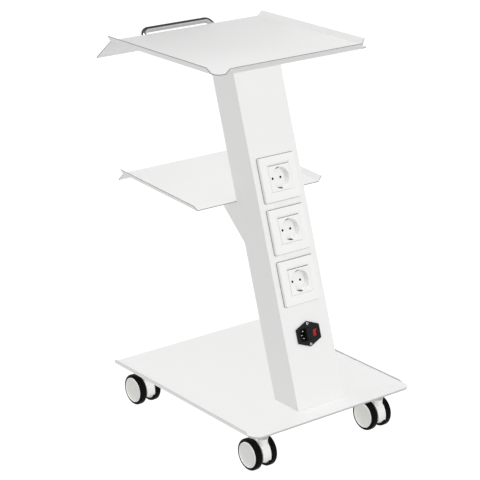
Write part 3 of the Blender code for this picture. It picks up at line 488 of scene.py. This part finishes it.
def makeSocketFrame(number, place):
    half, window, step, slope = (socket[key] for key in ("half", "window", "step", "slope"))
    bm = roundedSquare(half, socket["corner"])
    for reach, width, drop in ((window + step + slope, half - window - step - slope, 0),
                               (window + step, slope, socket["stepDrop"]),
                               (window, step, socket["stepDrop"])):
        bmesh.ops.inset_region(bm, faces=[innermost(bm)], thickness=width, depth=0,
                               use_boundary=True, use_even_offset=True)
        for v in innermost(bm).verts:
            v.co.x = max(-reach, min(reach, v.co.x))
            v.co.y = max(-reach, min(reach, v.co.y))
            v.co.z = -drop
    for v in innermost(bm).verts:
        v.co.y += socket["topSlot"] if v.co.y > 0 else 0
    bmesh.ops.delete(bm, geom=[innermost(bm)], context="FACES_ONLY")
    back = bmesh.ops.extrude_edge_only(bm, edges=[e for e in bm.edges if e.is_boundary])["geom"]
    for v in vertsOf(back):
        v.co.z = socket["frameBack"] - socket["proud"]
    bmesh.ops.bridge_loops(bm, edges=openEdges(back))
    bmesh.ops.translate(bm, vec=(0, 0, socket["proud"]), verts=bm.verts)
    standOnColumn(bm, place)
    piece = putDown(bm, f"socketFrame_{number}", "socketPlastic", "trolley",
                    (f"socket_{number}_frame",))
    easeEdges(piece, socket["frameEase"], socket["frameSteps"], clean["fold"])


def makeSocketShadeBead(number, place):
    # a dark grey bead around the frame's foot, laid there as painted shade where the frame meets the column
    bm = roundedSquare(socket["half"] + shadeBead["reach"], socket["corner"] + shadeBead["reach"])
    bmesh.ops.inset_region(bm, faces=bm.faces[:], thickness=shadeBead["reach"] - shadeBead["gap"], depth=0,
                           use_boundary=True, use_even_offset=True)
    bmesh.ops.delete(bm, geom=[innermost(bm)], context="FACES_ONLY")
    solid = bmesh.ops.extrude_face_region(bm, geom=bm.faces[:])["geom"]
    bmesh.ops.translate(bm, vec=(0, 0, shadeBead["thick"]), verts=vertsOf(solid))
    bmesh.ops.translate(bm, vec=(0, 0, shadeBead["gap"]), verts=bm.verts)
    standOnColumn(bm, place)
    piece = putDown(bm, f"socketShadeBead_{number}", "greyShadeBead", "trolley")
    easeEdges(piece, shadeBead["ease"], shadeBead["steps"], clean["fold"], harden=False)


def isPaintedHoleShade(place):
    # the walls of the contact holes, and of the notches that the earth clip's arms stand in; they take the
    # black finish as painted shade
    back = place.inverted()

    def test(face):
        x, y, z = back @ face.calc_center_median()
        hole = hypot(abs(x) - socket["contactPitch"] / 2, z) < socket["contactReach"]
        notch = abs(x) < socket["notchHalf"] and socket["notchFrom"] < abs(z) < socket["notchTo"]
        return y > socket["mouthBack"] and (hole or notch)
    return test


for number, height in enumerate(column["sockets"], 1):
    place = onColumn(height)
    makeSocketFrame(number, place)
    makeSocketShadeBead(number, place)
    # the insert's hole and notch walls take the black finish as painted shade
    roundedCopy(f"socket_{number}_insert", f"socketInsert_{number}", "socketPlastic", "white_socket_plastic",
                socket["insertEase"], socket["easeSteps"],
                second="blackMechanismAndHoleShade", isSecond=isPaintedHoleShade(place))
    roundedCopy(f"socket_{number}_earth_clip", f"earthClip_{number}", "clipSteelShaded", "nickelled_brass",
                socket["clipEase"], socket["easeSteps"])
    roundedCopy(f"socket_{number}_mechanism", f"socketMechanism_{number}", "blackMechanismAndHoleShade",
                "black_plastic", socket["mechanismEase"], socket["easeSteps"])
print("sockets made")


# the inlet's hexagonal housing, its pins, drawer and rocker

# label, finish, slot, width of the eased edge, its steps, and the least angle that is eased
inletParts = {
    "inlet_housing": ("inletHousing", "blackInlet", "black_plastic", 0.0002, 2, 50),
    "inlet_pin_line": ("inletPin_line", "nickel", "nickelled_brass", 0.0003, 3),
    "inlet_pin_neutral": ("inletPin_neutral", "nickel", "nickelled_brass", 0.0003, 3),
    "inlet_pin_earth": ("inletPin_earth", "nickel", "nickelled_brass", 0.0003, 3),
    "fuse_drawer": ("fuseDrawer", "blackInlet", "black_plastic", 0.00035, 3),
    "rocker_switch": ("rockerSwitch", "redRocker", "red_rocker_plastic", 0.0005, 4, 25),
    "fuse": ("fuse", "fuseGlass", "fuse_glass", 0.0003, 2),
}
for node, look in inletParts.items():
    roundedCopy(node, *look)
print("inlet made")


# the bolts at the column's foot

bolt = {"ease": 0.0003, "segments": 2, "steepness": 50}
for label in ("left", "right"):
    roundedCopy(f"foot_bolt_{label}", f"footBolt_{label}", "zinc", "zinc_plated_steel",
                bolt["ease"], bolt["segments"], bolt["steepness"])


# casters: each has an arched body, two wheels with a white rim and a grey cap, and a steel stem and axle

wheel = {"radius": 0.0315, "width": 0.0145, "hub": 0.0255, "proud": 0.0006, "gap": 0.0003, "axle": 0.003,
         "clear": 0.0005, "steps": 72, "smooth": 40}
tyre = {"shoulder": 0.0042, "shoulderSteps": 8, "lip": 0.0004}
rim = {"thick": 0.0026, "floor": 0.0105, "lip": 0.0004, "lipDrop": 0.0005, "edge": 0.0010, "edgeMid": 0.0003,
       "back": 0.0012, "backMid": 0.0006, "backRise": 0.0002, "boss": 0.0040, "bossDrop": 0.0006}
cap = {"gap": 0.0002, "sunk": 0.0010, "dish": 0.0010, "flatTo": 0.45, "bowlTo": 0.80, "bowlRise": 0.00025,
       "lipFrom": 0.93, "lip": 0.0004, "lipDrop": 0.0005, "edgeDrop": 0.0009, "back": 0.0119}
arch = {"radius": 0.0300, "half": 0.0097, "ease": 0.00035, "steelEase": 0.0003, "segments": 2,
        "steepness": 50}
ridge = {"width": 0.0016, "rise": 0.0008, "slope": 0.0003, "inset": 0.0001, "sunk": 0.00005,
         "start": radians(-16), "end": radians(150), "steps": 36, "smooth": 35}


def axleMiddle(name):
    low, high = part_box(f"{name}_axle")
    return Matrix.Translation((low + high) / 2)


def wheelFrame(name, side):
    # Z runs outwards along the axle from the wheel's inner face
    outwards = Matrix.Rotation(side * pi / 2, 4, "Y")
    return axleMiddle(name) @ outwards @ Matrix.Translation((0, 0, arch["half"] + wheel["clear"]))


def tyreProfile():
    inner, outer, width = wheel["hub"] + wheel["gap"], wheel["radius"], wheel["width"]
    shoulder, steps, lip = tyre["shoulder"], tyre["shoulderSteps"], tyre["lip"]
    turns = [pi / 2 * (1 - i / steps) for i in range(steps + 1)]
    front = [(outer - shoulder + shoulder * cos(t), width - shoulder + shoulder * sin(t)) for t in turns]
    back = [(r, width - h) for r, h in reversed(front)]
    return [(inner, width - lip), (inner + lip, width), *front, *back, (inner + lip, 0), (inner, lip),
            (inner, width - lip)]


def rimProfile():
    top, outer, edge = wheel["width"] + wheel["proud"], wheel["hub"], rim["edge"]
    inner, bore, boss = outer - rim["thick"], wheel["axle"] + wheel["gap"], wheel["axle"] + rim["boss"]
    return [(inner, rim["floor"]), (inner, top - rim["lipDrop"]), (inner + rim["lip"], top),
            (outer - edge, top), (outer - rim["edgeMid"], top - rim["edgeMid"]), (outer, top - edge),
            (outer, edge), (outer - rim["backMid"], rim["backRise"]), (outer - rim["back"], 0),
            (boss, 0), (boss - rim["bossDrop"], rim["bossDrop"]), (bore, rim["bossDrop"]),
            (bore, rim["floor"]), (inner, rim["floor"])]


def capProfile():
    top = wheel["width"] + wheel["proud"]
    reach = wheel["hub"] - rim["thick"] - cap["gap"]
    deep = top - cap["sunk"] - cap["dish"]
    return [(0, deep), (reach * cap["flatTo"], deep), (reach * cap["bowlTo"], deep + cap["bowlRise"]),
            (reach * cap["lipFrom"], top - cap["edgeDrop"]), (reach - cap["lip"], top - cap["lipDrop"]),
            (reach, top - cap["edgeDrop"]), (reach, cap["back"]), (0, cap["back"])]


def makeWheel(name, end, side):
    for part, profile, finish, slotName, stoodFor in (
            ("tyre", tyreProfile(), "blackTyre", "black_tyre", (f"{name}_{end}_tyre",)),
            ("rim", rimProfile(), "casterRim", "warm_grey_plastic", (f"{name}_{end}_hub",)),
            ("cap", capProfile(), "casterCap", "warm_grey_plastic", ())):
        bm = bmesh.new()
        spinProfile(bm, profile, wheel["steps"])
        bm.transform(wheelFrame(name, side))
        putDown(bm, f"{name}_{end}_{part}", finish, f"{name}_{end}_wheel", stoodFor,
                wheel["smooth"])


def makeRidges(name):
    # two raised strips along the arch's outer edges
    place = axleMiddle(name) @ Matrix.Rotation(pi, 4, "Z")
    foot, crest, slope = arch["radius"] + ridge["sunk"], arch["radius"] + ridge["rise"], ridge["slope"]
    for side, label in ((-1, "left"), (1, "right")):
        near, far = arch["half"] - ridge["width"], arch["half"] - ridge["inset"]
        bm = bmesh.new()
        first = [bm.verts.new((side * x, r * cos(ridge["start"]), r * sin(ridge["start"])))
                 for x, r in ((near, foot), (near + slope, crest), (far - slope, crest), (far, foot))]
        face = bm.faces.new(first)
        bmesh.ops.spin(bm, geom=first + list(face.edges) + [face], cent=(0, 0, 0), axis=(1, 0, 0),
                       angle=ridge["end"] - ridge["start"], steps=ridge["steps"])
        bm.transform(place)
        putDown(bm, f"{name}_ridge_{label}", "casterRim", name, angle=ridge["smooth"])


for end in ("front", "rear"):
    for hand, wheels in (("left", ("inner", "outer")), ("right", ("outer", "inner"))):
        name = f"caster_{end}_{hand}"
        for part, label, finish, slotName, ease in (
                ("hood", "guard", "casterBody", "warm_grey_plastic", arch["ease"]),
                ("stem", "pivotStem", "zinc", "zinc_plated_steel", arch["steelEase"]),
                ("axle", "axlePin", "zinc", "zinc_plated_steel", arch["steelEase"])):
            roundedCopy(f"{name}_{part}", f"{name}_{label}", finish, slotName, ease,
                        arch["segments"], arch["steepness"])
        makeRidges(name)
        makeWheel(name, wheels[0], 1)
        makeWheel(name, wheels[1], -1)
print("casters made")


# floor, lights and camera

# reflected is (place from nadir to zenith, brightness)
room = {"floor": 6.0, "floorTone": 0.15, "floorRoughness": 0.9, "floorBounce": 0.60, "seen": 1.0,
        "world": 0.64, "key": 1.32, "keyAim": (-0.12, -0.50, 0.93), "keySoftness": radians(25),
        "reflected": ((0.30, 0.60), (0.50, 0.85), (0.74, 0.85), (0.79, 0.03), (0.97, 0.06))}


def grey(value):
    return (value, value, value, 1)


def makeFloor():
    # the floor is plain white, and throws back less light than it shows
    bm = bmesh.new()
    bmesh.ops.create_grid(bm, x_segments=1, y_segments=1, size=room["floor"])
    mesh = bpy.data.meshes.new("studioFloor")
    bm.to_mesh(mesh)
    bm.free()
    floor = bpy.data.objects.new("studioFloor", mesh)
    bpy.context.scene.collection.objects.link(floor)
    white = bpy.data.materials.new("studioWhite")
    white.use_nodes = True
    nodes, links = white.node_tree.nodes, white.node_tree.links
    shader = nodes["Principled BSDF"]
    shader.inputs["Base Color"].default_value = grey(room["floorTone"])
    shader.inputs["Roughness"].default_value = room["floorRoughness"]
    shader.inputs["Specular IOR Level"].default_value = 0.0
    shader.inputs["Emission Strength"].default_value = 1.0
    path = nodes.new("ShaderNodeLightPath")
    glow = nodes.new("ShaderNodeMix")
    glow.data_type = "RGBA"
    glow.inputs[6].default_value = grey(room["floorBounce"])
    glow.inputs[7].default_value = grey(room["seen"])
    links.new(path.outputs["Is Camera Ray"], glow.inputs[0])
    links.new(glow.outputs[2], shader.inputs["Emission Color"])
    mesh.materials.append(white)


def makeWorld():
    # even light all round, but what shines shows a bright wall and a dark ceiling,
    # and the camera sees plain white
    world = bpy.data.worlds.new("studio")
    bpy.context.scene.world = world
    world.use_nodes = True
    nodes, links = world.node_tree.nodes, world.node_tree.links
    where = nodes.new("ShaderNodeTexCoord")
    split = nodes.new("ShaderNodeSeparateXYZ")
    height = nodes.new("ShaderNodeMapRange")
    height.inputs["From Min"].default_value = -1
    ramp = nodes.new("ShaderNodeValToRGB")
    stops = ramp.color_ramp.elements
    while len(stops) < len(room["reflected"]):
        stops.new(0.5)
    for stop, (place, value) in zip(stops, room["reflected"]):
        stop.position = place
        stop.color = grey(value)
    path = nodes.new("ShaderNodeLightPath")
    mix = nodes.new("ShaderNodeMix")
    mix.data_type = "RGBA"
    mix.inputs[6].default_value = grey(room["world"])
    links.new(where.outputs["Generated"], split.inputs["Vector"])
    links.new(split.outputs["Z"], height.inputs["Value"])
    links.new(height.outputs["Result"], ramp.inputs["Fac"])
    links.new(path.outputs["Is Glossy Ray"], mix.inputs[0])
    links.new(ramp.outputs["Color"], mix.inputs[7])
    seen = nodes.new("ShaderNodeMix")
    seen.data_type = "RGBA"
    seen.inputs[7].default_value = grey(room["seen"])
    links.new(path.outputs["Is Camera Ray"], seen.inputs[0])
    links.new(mix.outputs[2], seen.inputs[6])
    links.new(seen.outputs[2], nodes["Background"].inputs["Color"])


def makeKeyLight():
    data = bpy.data.lights.new("keyLight", "SUN")
    data.energy = room["key"]
    data.angle = room["keySoftness"]
    data.use_shadow = False  # a bare white studio, where the top shelf throws no shadow on the one below
    light = bpy.data.objects.new("keyLight", data)
    bpy.context.scene.collection.objects.link(light)
    light.rotation_euler = Vector(room["keyAim"]).to_track_quat("Z", "Y").to_euler()


makeFloor()
makeWorld()
makeKeyLight()

camera = {"place": (-2.0907, -2.6572, 1.5628), "down": 19.473, "turn": 37.821, "lens": 137.4, "sensor": 36}
cameraData = bpy.data.cameras.new("camera")
cameraData.lens = camera["lens"]
cameraData.sensor_width = camera["sensor"]
cameraObject = bpy.data.objects.new("camera", cameraData)
bpy.context.scene.collection.objects.link(cameraObject)
cameraObject.location = camera["place"]
cameraObject.rotation_euler = (radians(90 - camera["down"]), 0, radians(-camera["turn"]))
bpy.context.scene.camera = cameraObject
bpy.context.scene.view_settings.view_transform = "Standard"
print("studio ready")
